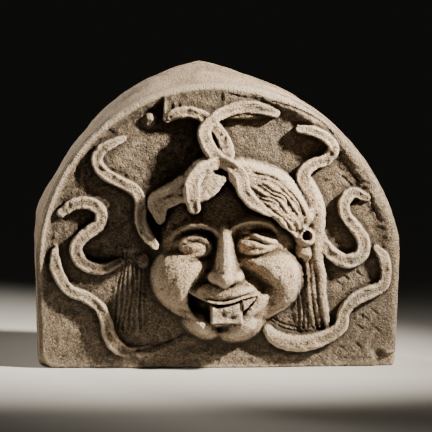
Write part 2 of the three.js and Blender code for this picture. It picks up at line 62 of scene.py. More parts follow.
# How softly the edges of the block are worn: at the sides and the back, along the front, and underneath.
ARRIS_WEAR = 5
FRONT_WEAR = 10
UNDER_WEAR = 3

# How far the edge of the block stands out of its plain arch, by the angle in degrees round the springing
# centre from the right side: the front edge is nearly true, the back one worn and pointed.
FRONT_EDGE = ([0, 8, 18, 30, 80, 110, 160, 180], [5, 6, 3, 1, 1, 3, 3, 4])
BACK_EDGE = ([0, 20, 60, 81, 94, 110, 125, 138, 153, 167, 180], [3, 1, -1, 7, 21, 13, 6, 0, 0, 7, 3])

# The border, by the same angle: its height, how broad it is and how far it takes to fall to the field.
# Between two heights over the foot it fades to a share of its height.
BORDER_RISE = ([0, 35, 65, 110, 150, 180], [5, 7, 11, 14, 14, 10])
BORDER_WIDTH = ([0, 60, 90, 110, 150, 180], [10, 9, 5, 2, 2, 4])
COVE_WIDTH = ([0, 60, 110, 150, 180], [20, 18, 17, 17, 13])
LEG_FADE = (64, 166)
LEG_SHARE = 0.25

# The low step along the foot: its height, where its top falls away, its middle and how it ends at both sides.
FOOT_RISE = 8
FOOT_TOP = (10, 30)
FOOT_MIDDLE = -10
FOOT_ENDS = (165, 60)

# The wear at the foot: a corner rounded off on the left, less so towards the back, and a chip out of the
# front on the right.
CORNER_WEAR = 10
CORNER_DRAFT = 0.3
CORNER_BLEND = 6
CHIP_DEPTH = 6
CHIP_EDGE = (188, 196)
CHIP_TOP = (13, 20)

# The grid that the stone is carved in, with some room round the block and in front of the nose.
STEP = 1.25
SIDE_ROOM = 8
FOOT_ROOM = 6
BACK_ROOM = 6
PEAK_ROOM = 22
FRONT_END = 88
XS = np.arange(-HALF_WIDTH - SIDE_ROOM, HALF_WIDTH + SIDE_ROOM, STEP)
ZS = np.arange(-FOOT_ROOM, SPRING + HALF_WIDTH + PEAK_ROOM, STEP)
PS = np.arange(-DEPTH - BACK_ROOM, FRONT_END, STEP)
X, Z = np.meshgrid(XS, ZS, indexing="ij")
ANGLE = np.degrees(np.arctan2(np.maximum(Z - SPRING, 0), X))
RADIUS = np.where(Z > SPRING, np.hypot(X, Z - SPRING), np.abs(X))

# A distance further off than any form, a height under every other one, and a depth that is well inside.
FAR = 1e3
BELOW = -40
DEEP = 40

FACE_LIMIT = 195000


# Helpers on numbers.


def smooth_max(a, b, blend):
    """The larger of two values, with a soft join where they are less than blend apart."""
    near = np.maximum(blend - np.abs(a - b), 0) / blend
    return np.maximum(a, b) + near * near * blend / 4


def smooth_min(a, b, blend):
    return -smooth_max(-a, -b, blend)


def ramp(low, high, value):
    """A soft step from 0 at low to 1 at high."""
    share = np.clip((value - low) / (high - low), 0, 1)
    return share * share * (3 - 2 * share)


def plateau(value, rise, fall):
    """1 between a soft rise and a soft fall, each from a first value to a second."""
    return ramp(*rise, value) * (1 - ramp(*fall, value))


def curve(points, pieces=10):
    """A smooth run through points, each a row of numbers."""
    points = np.array(points, float)
    ends = np.vstack([2 * points[0] - points[1], points, 2 * points[-1] - points[-2]])
    share = np.arange(pieces)[:, None] / pieces
    run = []
    for i in range(1, len(ends) - 2):
        before, here, after, beyond = ends[i - 1 : i + 3]
        bend = 2 * before - 5 * here + 4 * after - beyond
        swing = 3 * here - before - 3 * after + beyond
        run.append(0.5 * (2 * here + (after - before) * share + bend * share**2 + swing * share**3))
    run.append(points[-1:])
    return np.vstack(run)


def stroke(run, reach):
    """How the grid lies to a run of (x, z, more...) points: the distance to it, the share of the way along
    it, the side, -1 or 1, and what else the points hold."""
    distance = np.full(X.shape, FAR)
    share = np.zeros(X.shape)
    side = np.zeros(X.shape)
    more = np.zeros(X.shape + (run.shape[1] - 2,))
    walked = np.concatenate([[0], np.cumsum(np.hypot(*np.diff(run[:, :2], axis=0).T))])
    for i in range(len(run) - 1):
        a, b = run[i], run[i + 1]
        low, high = np.minimum(a, b)[:2] - reach, np.maximum(a, b)[:2] + reach
        i0, i1 = np.searchsorted(XS, [low[0], high[0]])
        j0, j1 = np.searchsorted(ZS, [low[1], high[1]])
        if i0 == i1 or j0 == j1:
            continue
        window = (slice(i0, i1), slice(j0, j1))
        along = b[:2] - a[:2]
        length2 = max(along @ along, 1e-9)
        dx, dz = X[window] - a[0], Z[window] - a[1]
        t = np.clip((dx * along[0] + dz * along[1]) / length2, 0, 1)
        gap = np.hypot(dx - t * along[0], dz - t * along[1])
        closer = gap < distance[window]
        distance[window] = np.where(closer, gap, distance[window])
        way = (walked[i] + t * (walked[i + 1] - walked[i])) / walked[-1]
        share[window] = np.where(closer, way, share[window])
        side[window] = np.where(closer, np.sign(along[0] * dz - along[1] * dx), side[window])
        value = a[2:] + t[..., None] * (b[2:] - a[2:])
        more[window] = np.where(closer[..., None], value, more[window])
    return distance, share, side, more


def ridge(points, width, fade=0.0, reach=None):
    """A soft ridge along a curve, 1 at its middle, that may fade towards both ends."""
    distance, share, _, _ = stroke(curve(points), reach or 3 * width + 4)
    swell = 1 - fade + fade * np.sin(np.pi * np.clip(share, 0, 1))
    return np.exp(-((distance / width) ** 2)) * swell


def add_ridges(height, ridges):
    """Adds soft ridges, each its points, rise, width and fade. With a rise below 0 it is a groove."""
    for points, rise, width, fade in ridges:
        height = height + rise * ridge(points, width, fade)
    return height


def dome(x, z, wide, high, base, rise, power=0.5, tilt=0.0, skirt=1.6):
    """The height of a rounded boss, which falls away round its base as steeply as skirt says."""
    c, s = math.cos(tilt), math.sin(tilt)
    u = ((X - x) * c + (Z - z) * s) / wide
    v = ((Z - z) * c - (X - x) * s) / high
    q = u * u + v * v
    outside = base - (np.sqrt(q) - 1) * min(wide, high) * skirt
    return np.where(q < 1, base + rise * np.maximum(1 - q, 0) ** power, outside)


def add_dome(height, blend, **shape):
    return smooth_max(height, dome(**shape), blend)


def pit(x, z, wide, high):
    """A soft round spot, 1 at its middle."""
    return np.exp(-(((X - x) / wide) ** 2) - ((Z - z) / high) ** 2)


def between(upper, lower, soft):
    """1 inside the opening between two curves that run over x, falling to 0 at its edge."""
    top, foot = curve(upper, 12), curve(lower, 12)
    top_z, foot_z = np.interp(X, top[:, 0], top[:, 1]), np.interp(X, foot[:, 0], foot[:, 1])
    inside = ramp(-soft, soft, top_z - Z) * ramp(-soft, soft, Z - foot_z)
    return inside * ((X > upper[0][0]) & (X < upper[-1][0]))


def blurred(values, radius, passes=2):
    """Box-blurred values, along every axis."""
    reach = max(1, round(radius / STEP))
    for _ in range(passes):
        for axis in range(values.ndim):
            padded = np.concatenate(
                [
                    np.repeat(values.take([0], axis), reach + 1, axis),
                    values,
                    np.repeat(values.take([-1], axis), reach, axis),
                ],
                axis,
            )
            total = np.cumsum(padded, axis, dtype=np.float32)
            width = 2 * reach + 1
            count = values.shape[axis]
            values = (total.take(range(width, width + count), axis) - total.take(range(count), axis)) / width
    return values


SEED = 7
LATTICE_SIZE = 48
LATTICE = np.random.default_rng(SEED).random((LATTICE_SIZE,) * 3).astype(np.float32) * 2 - 1


def noise(points, size, shift=0):
    """Smooth random values from -1 to 1 at rows of points, in lumps of about that size."""
    place = points / size + shift
    cell = np.floor(place).astype(int)
    t = place - cell
    t = t * t * (3 - 2 * t)
    total = 0
    for corner in np.ndindex(2, 2, 2):
        weight = np.prod(np.where(corner, t, 1 - t), axis=1)
        i, j, k = ((cell + corner) % len(LATTICE)).T
        total = total + weight * LATTICE[i, j, k]
    return total


def noise_map(size):
    """Smooth random values from -1 to 1 over the grid."""
    flat = np.stack([X.ravel(), Z.ravel(), np.zeros(X.size)], axis=1)
    return noise(flat, size).reshape(X.shape)


# The relief, as heights over the field.


def by_angle(table):
    return np.interp(ANGLE, *table)


def edge_reach(table):
    """How far the outline lies from the middle, the straight legs drawn in to the plain width at the foot."""
    return HALF_WIDTH + by_angle(table) * np.clip(Z / SPRING, 0, 1)


# The band left standing between the border and the two top snakes, cut off square on the left.
BAND_RISE = 13
BAND_ACROSS = ((-67, -65), (30, 66))
BAND_UP = ((300, 305), (340, 352))

# Low ridges and grooves on the field: points, rise, width and fade.
FIELD_MARKS = [
    ([(-96, 17), (-78, 19), (-58, 23), (-36, 32), (-22, 43)], 3.5, 6, 0),
    ([(-98, 25), (-78, 27), (-60, 32), (-44, 40), (-32, 50)], -1.8, 1.3, 0),
    ([(62, 58), (80, 47), (104, 43), (126, 49), (138, 58)], -2.2, 1.2, 0),
    ([(62, 63), (80, 52), (104, 48), (126, 54), (138, 63)], -2.2, 1.2, 0),
]


def ground():
    """The field with its border, the step along the foot and what is left standing on it."""
    inset = edge_reach(FRONT_EDGE) - RADIUS
    border = by_angle(BORDER_WIDTH)
    rise = by_angle(BORDER_RISE) * (LEG_SHARE + (1 - LEG_SHARE) * ramp(*LEG_FADE, Z))
    height = rise * (1 - ramp(border, border + by_angle(COVE_WIDTH), inset))
    foot = FOOT_RISE * (1 - ramp(*FOOT_TOP, Z)) * ramp(*FOOT_ENDS, np.abs(X - FOOT_MIDDLE))
    height = smooth_max(height, foot, 4)
    band = plateau(X, *BAND_ACROSS) * plateau(Z, *BAND_UP)
    height = smooth_max(height, BAND_RISE * band, 2)
    lump = dome(x=-83, z=302, wide=14, high=10, base=0, rise=8, power=1.1, tilt=0.7, skirt=1)
    height = smooth_max(height, lump + 2.5 * noise_map(6), 2)
    height = add_dome(height, x=40, z=8, wide=14, high=9, base=0, rise=6, blend=3)
    height = add_ridges(height, FIELD_MARKS)
    return height - CHIP_DEPTH * ramp(*CHIP_EDGE, X) * (1 - ramp(*CHIP_TOP, Z + 4 * noise_map(9)))


SOCKET_DEPTH = 14


def skull():
    """The main masses of the head: cranium, breadth of the face, jaw, forehead, cheeks and eye sockets."""
    height = dome(x=8.5, z=163, wide=80, high=68, base=0, rise=36, power=0.42)
    height = add_dome(height, x=11, z=111, wide=94, high=61, base=0, rise=46, power=0.4, blend=12)
    height = add_dome(height, x=8.5, z=86, wide=62, high=38, base=6, rise=46, skirt=3, blend=14)
    height = add_dome(height, x=8.5, z=172, wide=54, high=26, base=14, rise=27, skirt=3, blend=12)
    for x, tilt in ((-41, -0.25), (62, 0.25)):
        cheek = dict(x=x, z=109, wide=38, high=37, base=14, rise=43, tilt=tilt, skirt=4)
        height = add_dome(height, 16, **cheek)
    for side in (-1, 1):
        socket = SOCKET_DEPTH * pit(x=8 + side * 36, z=156, wide=25, high=15)
        corner = SOCKET_DEPTH * pit(x=7.5 + side * 17, z=150, wide=7.5, high=18)
        height = height - (socket + corner)
    return height


# The brows: points, rise, width and fade.
BROWS = [
    ([(-57, 160), (-49, 169), (-36, 175.5), (-18, 177), (-5, 170), (2, 160)], 11, 4.4, 0.4),
    ([(10, 164), (18, 176), (38, 182.5), (58, 179), (69, 169), (73, 158)], 11, 4.4, 0.4),
]


def brows(height):
    return add_ridges(height, BROWS) + 4 * pit(x=6, z=170, wide=9, high=9)


# The lids, as ridges and the dark lines beside them: points, rise, width and fade.
LIDS = [
    ([(-44, 157), (-39, 161), (-29, 163.5), (-17, 160), (-10, 152)], 5.5, 2.6, 0.5),
    ([(-43, 153), (-29, 157), (-18, 153), (-13, 148)], -3.4, 1.6, 0.5),
    ([(-54, 140), (-37, 139.5), (-22, 141.5), (-11, 150)], 3.2, 2.2, 0.5),
    ([(-50, 135), (-36, 133), (-20, 136)], -2.6, 2.2, 0.5),
    ([(23, 160), (27, 165), (33, 167.5), (43, 165), (55, 159.5), (70, 156)], 5.5, 2.7, 0.5),
    ([(30, 158.5), (42, 159), (55, 154), (69, 151.5)], -3.6, 1.5, 0.5),
    ([(29, 150), (35, 154), (46, 153), (58, 148)], 1.4, 2.3, 0.5),
    ([(30, 143), (38, 148.5), (50, 147)], -1.2, 1.8, 0.5),
    ([(32, 143), (46, 142.5), (62, 147)], 2.4, 1.8, 0.5),
    ([(27, 140), (38, 138.5), (50, 139.5)], -3, 2.4, 0.5),
]


def eyes(height):
    for x, z, wide, tilt in ((-27, 150, 22, -0.02), (46, 152, 25, 0.06)):
        ball = dict(x=x, z=z, wide=wide, high=16, base=29, rise=15, power=0.6, tilt=tilt, skirt=1.2)
        height = add_dome(height, 5, **ball)
    return add_ridges(height, LIDS)


# The folds from the nose down past the mouth: points, rise, width and fade.
SMILE_FOLDS = [
    ([(-14, 119), (-21, 110), (-28, 100), (-32, 89), (-32, 76)], -21, 9.5, 0.5),
    ([(30, 120), (42, 114), (53, 105), (62, 96), (62, 87)], -23, 11.5, 0.4),
]


def muzzle(height):
    """The swelling above the mouth, between the two folds."""
    height = add_ridges(height, SMILE_FOLDS)
    return add_dome(height, x=5, z=97, wide=33, high=13, base=37, rise=17, blend=6)


# The nose from the brow to its tip: its middle line, and by the share of the way down, its height, how round
# its ridge is and how steeply its sides fall.
NOSE_LINE = [(7, 174), (7, 158), (7, 142), (7, 128), (7, 117)]
NOSE_RISE = ([0, 0.3, 0.7, 1], [50, 56, 66, 74])
NOSE_ROUND = ([0, 0.4, 1], [3, 3.5, 6])
NOSE_FALL = ([0, 0.4, 0.8, 1], [3.6, 4, 3.4, 2.8])
BRIDGE_HALF_WIDTH = 2.2
NOSE_REACH = 44


def nose(height):
    run = curve(NOSE_LINE)
    share = np.linspace(0, 1, len(run))
    profile = [np.interp(share, *table) for table in (NOSE_RISE, NOSE_ROUND, NOSE_FALL)]
    distance, _, _, more = stroke(np.c_[run, np.transpose(profile)], NOSE_REACH)
    turn = np.maximum(more[..., 1], 1)
    beside = np.maximum(distance - BRIDGE_HALF_WIDTH, 0)
    sides = more[..., 0] - more[..., 2] * (np.sqrt(beside**2 + turn**2) - turn)
    height = smooth_max(height, np.where(distance < NOSE_REACH - 1, sides, BELOW), 3)
    height = add_dome(height, x=5.5, z=113, wide=11, high=9.5, base=60, rise=16, skirt=4, blend=9)
    for x in (-5, 19):
        height = add_dome(height, x=x, z=114.5, wide=8, high=6.5, base=52, rise=12, skirt=6, blend=8)
    for x in (-1.5, 13):
        height = height - 7 * pit(x=x, z=105, wide=4, high=2.2)
    return height


# The opening of the mouth, by its upper and its lower edge.
LIP_TOP = [(-39, 96), (-28, 88.7), (-16, 84), (0, 81), (14, 83), (28, 87), (46, 91)]
LIP_FOOT = [(-39, 96), (-35, 76), (-26, 65), (-12, 59), (6, 57), (20, 62), (29, 70), (38, 80), (46, 91)]

# The mouth: how deep it is cut, the height of its floor, and the teeth that stand in it. They are a block of
# two front teeth that runs down to the chin, with a few grooves (points, rise, width, fade), and beside it a
# three-sided one, its corners given against the clock.
MOUTH_DEPTH = 26
MOUTH_FLOOR = 30
TEETH_TOP = 53
TEETH_SIDES = ((-12, -9), (26, 30))
TEETH_FOOT = (56, 60)
TOOTH_GROOVES = [
    ([(3.4, 82), (4.2, 75), (4, 68)], -2, 1.2, 0),
    ([(-9, 67), (3, 68)], -1, 1.2, 0),
    ([(6, 72), (13, 71)], -1, 1.2, 0),
    ([(23.5, 86), (24.5, 78), (26, 70)], -2, 1.2, 0),
]
SIDE_TOOTH = [(26, 87), (28, 72.5), (45, 90)]
SIDE_TOOTH_TOP = 54

# Ridges and a groove along the upper lip: how far over the opening, how wide against it, from which of its
# points on, rise and width.
LIP_RIDGES = [(9.5, 0.93, 4, 5, 4.2), (2, 0.93, 1, 4.4, 2), (5.2, 0.9, 2, -4, 1.4)]


def standing(share, top):
    """A flat form that stands in the mouth, by how much of each place is its own."""
    return np.where(share > 0.01, top * share + MOUTH_FLOOR * (1 - share), BELOW)


def side_tooth():
    share = 1
    for (x0, z0), (x1, z1) in zip(SIDE_TOOTH, SIDE_TOOTH[1:] + SIDE_TOOTH[:1]):
        length = math.hypot(x1 - x0, z1 - z0)
        share = share * ramp(-1, 1, ((x1 - x0) * (Z - z0) - (z1 - z0) * (X - x0)) / length)
    return standing(share, SIDE_TOOTH_TOP)


def front_teeth():
    lip = curve(LIP_TOP, 12)
    share = plateau(X, *TEETH_SIDES) * ramp(*TEETH_FOOT, Z)
    share = share * ramp(0.6, 3, np.interp(X, lip[:, 0], lip[:, 1]) - Z)
    return add_ridges(standing(share, TEETH_TOP), TOOTH_GROOVES) + 1.2 * noise_map(5)


def mouth(height):
    height = height - MOUTH_DEPTH * between(LIP_TOP, LIP_FOOT, 1.3)
    for lift, breadth, first, rise, width in LIP_RIDGES:
        points = [(x * breadth, z + lift) for x, z in LIP_TOP[first:]]
        height = height + rise * ridge(points, width, 0.5)
    height = smooth_max(height, front_teeth(), 3)
    return smooth_max(height, side_tooth(), 1)


# The lower lip: points, rise, width and fade.
LOWER_LIP = ([(-34, 66), (-28, 60), (-15, 57), (6, 54), (25, 58), (37, 68), (50, 80), (61, 93)], 8, 6, 0.4)


def chin(height):
    height = add_ridges(height, [LOWER_LIP])
    left = dict(x=-20, z=54, wide=12, high=8, base=36, rise=15, power=0.6, tilt=-0.5, skirt=3)
    right = dict(x=29, z=55, wide=18, high=12, base=38, rise=19, power=0.6, tilt=0.4, skirt=3)
    for half in (left, right):
        height = add_dome(height, 8, **half)
    return height - 13 * pit(x=5, z=50, wide=13, high=5)


# Each hair mass lies between its outer and its lower edge, from the parting down to the temple: (x, z, p).
LEFT_OUTER = [
    (4, 239, 44), (-14, 241, 46), (-44, 231, 46), (-62, 219, 40), (-84, 204, 32), (-81, 190, 27),
    (-75, 179, 22),
]
LEFT_LOWER = [
    (5, 231, 56), (-8, 215, 60), (-22, 210, 62), (-44, 211, 58), (-57, 205, 50), (-63, 197, 42),
    (-65, 184, 34),
]
RIGHT_OUTER = [
    (14, 256, 42), (34, 254, 46), (61, 245, 46), (81, 234, 43), (95, 216, 38), (106, 198, 33),
    (107, 182, 26),
]
RIGHT_LOWER = [
    (18, 228, 60), (33, 211, 63), (48, 199, 62), (64, 190, 58), (77, 176, 52), (86, 167, 42),
    (93, 160, 32),
]

# Both edges, the share of the way between them where each groove runs, the share of the way along where the
# grooves begin, and their depth.
HAIR_SIDES = [
    (LEFT_OUTER, LEFT_LOWER, (0.17, 0.31, 0.45, 0.58, 0.71, 0.84), 0.06, 1.8),
    (RIGHT_OUTER, RIGHT_LOWER, (0.2, 0.3, 0.44, 0.53, 0.66, 0.75, 0.88), 0.16, 5.5),
]

# The bars that make up the hair: where they lie between the two edges, their radius at most, against the
# distance to the nearer edge and at least, and how far the hair swells. Then the grooves' waves and width.
HAIR_ROLLS = np.linspace(0.12, 0.9, 8)
ROLL_RADIUS = 10
ROLL_SPREAD = 1.3
ROLL_LEAST = 1.2
HAIR_CROWN = 5
HAIR_WAVE = 1.6
HAIR_GROOVE_WIDTH = 1.7


def flow(outer, lower, share):
    """A line of the hair, part of the way from the outer edge to the lower one."""
    first, last = curve(outer, 8), curve(lower, 8)
    return first * (1 - share) + last * share


def add_bar(height, run, blend):
    """Adds a half-buried round bar along a run of (x, z, p, radius)."""
    distance, _, _, more = stroke(run, 22)
    radius = np.maximum(more[..., 1], 0.5)
    q = distance / radius
    top = more[..., 0] + radius * np.sqrt(np.maximum(1 - q * q, 0))
    return smooth_max(height, np.where(q < 1, top, BELOW), blend)


def hair_rolls(height, outer, lower):
    """The swelling mass of the hair, as thick bars side by side."""
    spread = np.linalg.norm(flow(outer, lower, 1)[:, :2] - flow(outer, lower, 0)[:, :2], axis=1)
    for share in HAIR_ROLLS:
        run = flow(outer, lower, share)
        along = np.linspace(0, 1, len(run))
        crown = HAIR_CROWN * (1 - (2 * share - 1) ** 2)
        radius = np.minimum(ROLL_RADIUS, ROLL_SPREAD * spread * min(share, 1 - share) + ROLL_LEAST)
        radius = radius * (0.5 + 0.5 * np.sin(np.pi * np.clip(along * 1.1, 0.1, 0.96)))
        height = add_bar(height, np.c_[run[:, :2], run[:, 2] + crown - radius, radius], 5)
    return height


def hair(height):
    for outer, lower, grooves, first_groove, groove_depth in HAIR_SIDES:
        height = hair_rolls(height, outer, lower)
        for i, share in enumerate(grooves):
            run = flow(outer, lower, share)
            along = np.linspace(0, 1, len(run))
            run[:, 1] += HAIR_WAVE * np.sin(along * 21 + 2.3 * (i // 2))
            distance, place, _, _ = stroke(run, 8)
            start = ramp(first_groove, first_groove + 0.12, place)
            depth = groove_depth * start * (0.75 + 0.25 * np.sin(9 * place + i))
            height = height - depth * np.exp(-((distance / HAIR_GROOVE_WIDTH) ** 2))
    return height


# The locks beside the cheeks: low beds (x, z, half width, half height, rise), cut by wavy grooves, given by
# how far each lies from the middle of its bed, and thick locks on the right (x, z, p, radius).
LOCK_BEDS = [(-103, 96, 24, 56, 6), (112, 96, 24, 62, 9)]
LOCK_GROOVES = {-104: (-16, -11, -6, 0, 5, 11, 16), 111: (-14, -9, -4, 1, 5)}
LOCK_GROOVE_WIDTH = 1.5
LOCK_WAVE = 1.1
THICK_LOCKS = [
    [(118, 172, 14, 8), (119, 150, 12, 7.5), (121, 130, 9, 7), (125, 110, 8, 6.5), (126, 90, 8, 6),
     (129, 70, 7, 6), (133, 50, 4, 4)],
    [(107, 134, 10, 2.5), (109, 112, 9, 3), (110, 92, 9, 3), (113, 68, 7, 3), (116, 52, 4, 2.5)],
    [(113, 140, 10, 3), (115, 118, 9, 3.4), (116, 96, 9, 3.6), (120, 72, 7, 3.4), (124, 50, 4, 3)],
]


def side_locks(height):
    for x, z, wide, high, rise in LOCK_BEDS:
        height = add_dome(height, x=x, z=z, wide=wide, high=high, base=0, rise=rise, power=0.7, blend=3)
    for middle, offsets in LOCK_GROOVES.items():
        side = math.copysign(1, middle)
        for i, offset in enumerate(offsets):
            top = (middle + offset * 0.8 - side * 2, 140)
            foot = (middle + offset * 1.2 + side * 4, 48)
            run = curve([top, (middle + offset, 98), foot], 12)
            run[:, 0] += LOCK_WAVE * np.sin(np.linspace(0, 9, len(run)) + i)
            distance, _, _, _ = stroke(run, 7)
            depth = 2.6 + 0.8 * math.sin(3 * i)
            height = height - depth * np.exp(-((distance / LOCK_GROOVE_WIDTH) ** 2))
    for points in THICK_LOCKS:
        height = add_bar(height, curve(points, 8), 2)
    return height


def ears(height):
    """The left ear, mostly behind the hair, and the right one, in three parts with a hollow."""
    height = add_dome(height, x=-90, z=130, wide=7, high=9, base=3, rise=4, tilt=-0.2, skirt=3, blend=3)
    height = add_dome(height, x=107, z=185, wide=9.5, high=14, base=18, rise=18, tilt=-0.5, skirt=4, blend=2)
    height = add_dome(height, x=105, z=161, wide=13, high=13, base=14, rise=15, power=0.35, skirt=4, blend=4)
    height = add_dome(height, x=103, z=143, wide=10, high=14, base=12, rise=10, tilt=0.25, skirt=2.5, blend=6)
    return height - 8 * pit(x=100, z=132, wide=4.5, high=3.5)


# The drilled hole at the right ear: its middle, its radius, how deep it is and the highest its floor may be.
DRILL_HOLE = (106.5, 161.8)
DRILL_RADIUS = 6.4
DRILL_DEPTH = 16
DRILL_FLOOR = 12


def drill_hole(height):
    inside = np.hypot(X - DRILL_HOLE[0], Z - DRILL_HOLE[1]) < DRILL_RADIUS
    return np.where(inside, np.minimum(height - DRILL_DEPTH, DRILL_FLOOR), height)


CRACKS = [
    [(12, 334), (28, 330), (41, 328)],
    [(66, 324), (96, 314), (124, 299), (139, 283)],
    [(156, 195), (170, 203), (185, 209)],
    [(185, 209), (187, 199), (193, 182)],
    [(168, 218), (161, 204)],
]
CRACK_DEPTH = 2.4

# Short slanting marks of the tool on the right of the field: where each begins.
TOOL_MARKS = [
    (144, 244), (152, 249), (159, 240), (150, 232), (166, 231), (158, 224), (144, 104), (152, 112),
    (168, 116), (176, 62), (186, 70), (170, 50), (190, 48), (150, 24), (168, 28),
]
TOOL_MARK_DEPTH = 1.8


def cracks(height):
    for points in CRACKS:
        height = height - CRACK_DEPTH * ridge(points, 1.0, 0.3, reach=8)
    for x, z in TOOL_MARKS:
        height = height - TOOL_MARK_DEPTH * ridge([(x, z), (x + 7, z - 6)], 1.2, 0.3, reach=6)
    return height


def relief():
    height = skull()
    for feature in (brows, eyes, muzzle, nose, mouth, chin, hair):
        height = feature(height)
    height = smooth_max(ground(), height, 2)
    for feature in (side_locks, ears, drill_hole, cracks):
        height = feature(height)
    return height


# The snakes, from the head of each to where it ends, as the middle line and the thickness: (x, z, p, radius).
SNAKES = {
    "top_left": [(-61, 304, 13, 5.5), (-50, 310, 15, 7), (-34, 312, 16, 6.5), (-16, 305, 17, 7),
                 (0, 289, 20, 7), (8, 273, 26, 8.5), (9, 258, 34, 8.5), (-7, 251, 44, 7.5),
                 (-24, 244, 52, 8.5), (-33, 229, 58, 10), (-34, 214, 62, 9.5), (-31, 200, 60, 7.5)],
    "top_right": [(70, 309, 9, 5), (53, 315, 11, 7), (33, 318, 12, 7.5), (12, 313, 14, 7), (-6, 304, 20, 6.5),
                  (-17, 289, 24, 8), (-12, 270, 30, 8.5), (1, 256, 42, 8), (14, 249, 52, 8), (24, 238, 60, 9),
                  (28, 222, 64, 8.5), (38, 208, 66, 8), (50, 199, 63, 6), (60, 192, 58, 3.5)],
    "high_left": [(-114, 279, 5, 3.5), (-127, 274, 8, 6), (-142, 265, 8, 7), (-146, 252, 8, 7),
                  (-137, 237, 8, 7), (-117, 226, 9, 7), (-100, 216, 10, 7), (-93, 201, 18, 7),
                  (-94, 182, 27, 7), (-88, 166, 33, 7), (-77, 151, 33, 5)],
    "mid_left": [(-189, 190, 7, 5.5), (-174, 200, 8, 7.5), (-155, 201, 8, 7.5), (-142, 191, 8, 7.5),
                 (-145, 174, 8, 7.5), (-162, 162, 8, 7.5), (-172, 148, 8, 8), (-167, 132, 8, 8),
                 (-151, 122, 8, 7.5), (-133, 123, 6, 6.5), (-118, 130, 2, 4.5)],
    "low_left": [(-196, 148, 5, 3), (-197, 129, 7, 7.5), (-191, 110, 8, 7), (-179, 95, 8, 7),
                 (-160, 87, 8, 7), (-144, 75, 8, 7), (-136, 58, 8, 7.5), (-132, 41, 8, 8.5), (-123, 27, 6, 9),
                 (-110, 20, 3, 7), (-96, 21, 2, 5), (-82, 24, 1, 4)],
    "high_right": [(98, 290, 11, 4.5), (117, 287, 14, 6), (132, 279, 15, 6), (140, 266, 13, 6.5),
                   (131, 253, 10, 7), (113, 246, 9, 7), (103, 233, 10, 9.5), (110, 215, 14, 11.5),
                   (117, 196, 16, 12), (119, 175, 16, 10), (117, 157, 14, 7)],
    "mid_right": [(180, 206, 4, 5), (164, 212, 6, 7), (153, 202, 8, 7.5), (154, 186, 8, 7),
                  (168, 168, 8, 7.5), (177, 151, 8, 8), (172, 135, 8, 8.5), (155, 129, 8, 8.5),
                  (138, 138, 9, 8), (126, 153, 10, 7.5), (121, 167, 12, 7)],
    "low_right": [(192, 145, 6, 4), (201, 133, 8, 6.5), (204, 116, 8, 6.5), (200, 99, 8, 7), (184, 91, 9, 8),
                  (165, 82, 9, 8), (153, 68, 9, 7.5), (149, 50, 10, 8), (131, 37, 10, 9), (106, 30, 11, 10),
                  (83, 31, 12, 10), (68, 38, 13, 8.5), (60, 47, 14, 6)],
}

# The trough along a snake, against its radius: its depth, its half width and how far it wanders, and how
# fast it does so. On two of them the tail is smooth, from a share of the way along.
FURROW_DEPTH = 0.36
FURROW_HALF_WIDTH = 0.6
FURROW_WANDER = 0.16
FURROW_WAVES = 31
SMOOTH_TAILS = {"low_right": 0.66, "high_right": 0.6}
TAIL_FADE = 0.1
PAST_THE_TAIL = 2

# The section of a snake: how flat and how square it is, and how softly it joins the stone.
SNAKE_FLATNESS = 0.86
SNAKE_SQUARENESS = 2.6
SNAKE_BLEND = 1.8
SNAKE_MARGIN = 18


def window_of(low, high):
    """The part of the grid between two corners."""
    spans = [np.searchsorted(axis, [a, b]) for axis, a, b in zip((XS, ZS, PS), low, high)]
    return tuple(slice(a, b) for a, b in spans)


def snake_depth(run, window, smooth_from):
    """How deep each place of a window lies inside a snake: a flat-topped body over straight sides, with a
    trough between its two edges up to where its tail is smooth."""
    distance, share, side, more = stroke(run, run[:, 3].max() + 6)
    flat = window[:2]
    radius = np.maximum(more[..., 1][flat], 1)[..., None]
    across = distance[flat][..., None] / radius
    wave = np.sin(share[flat] * FURROW_WAVES + run[0, 0])[..., None]
    wander = FURROW_WANDER * wave * side[flat][..., None]
    furrow = FURROW_DEPTH * radius * np.exp(-(((across + wander) / FURROW_HALF_WIDTH) ** 4))
    furrow = furrow * (1 - ramp(smooth_from, smooth_from + TAIL_FADE, share[flat]))[..., None]
    over = np.maximum(PS[window[2]] - more[..., 0][flat][..., None] + furrow, 0) / (SNAKE_FLATNESS * radius)
    body = (across**SNAKE_SQUARENESS + over**SNAKE_SQUARENESS) ** (1 / SNAKE_SQUARENESS)
    return (radius * (1 - body)).astype(np.float32)


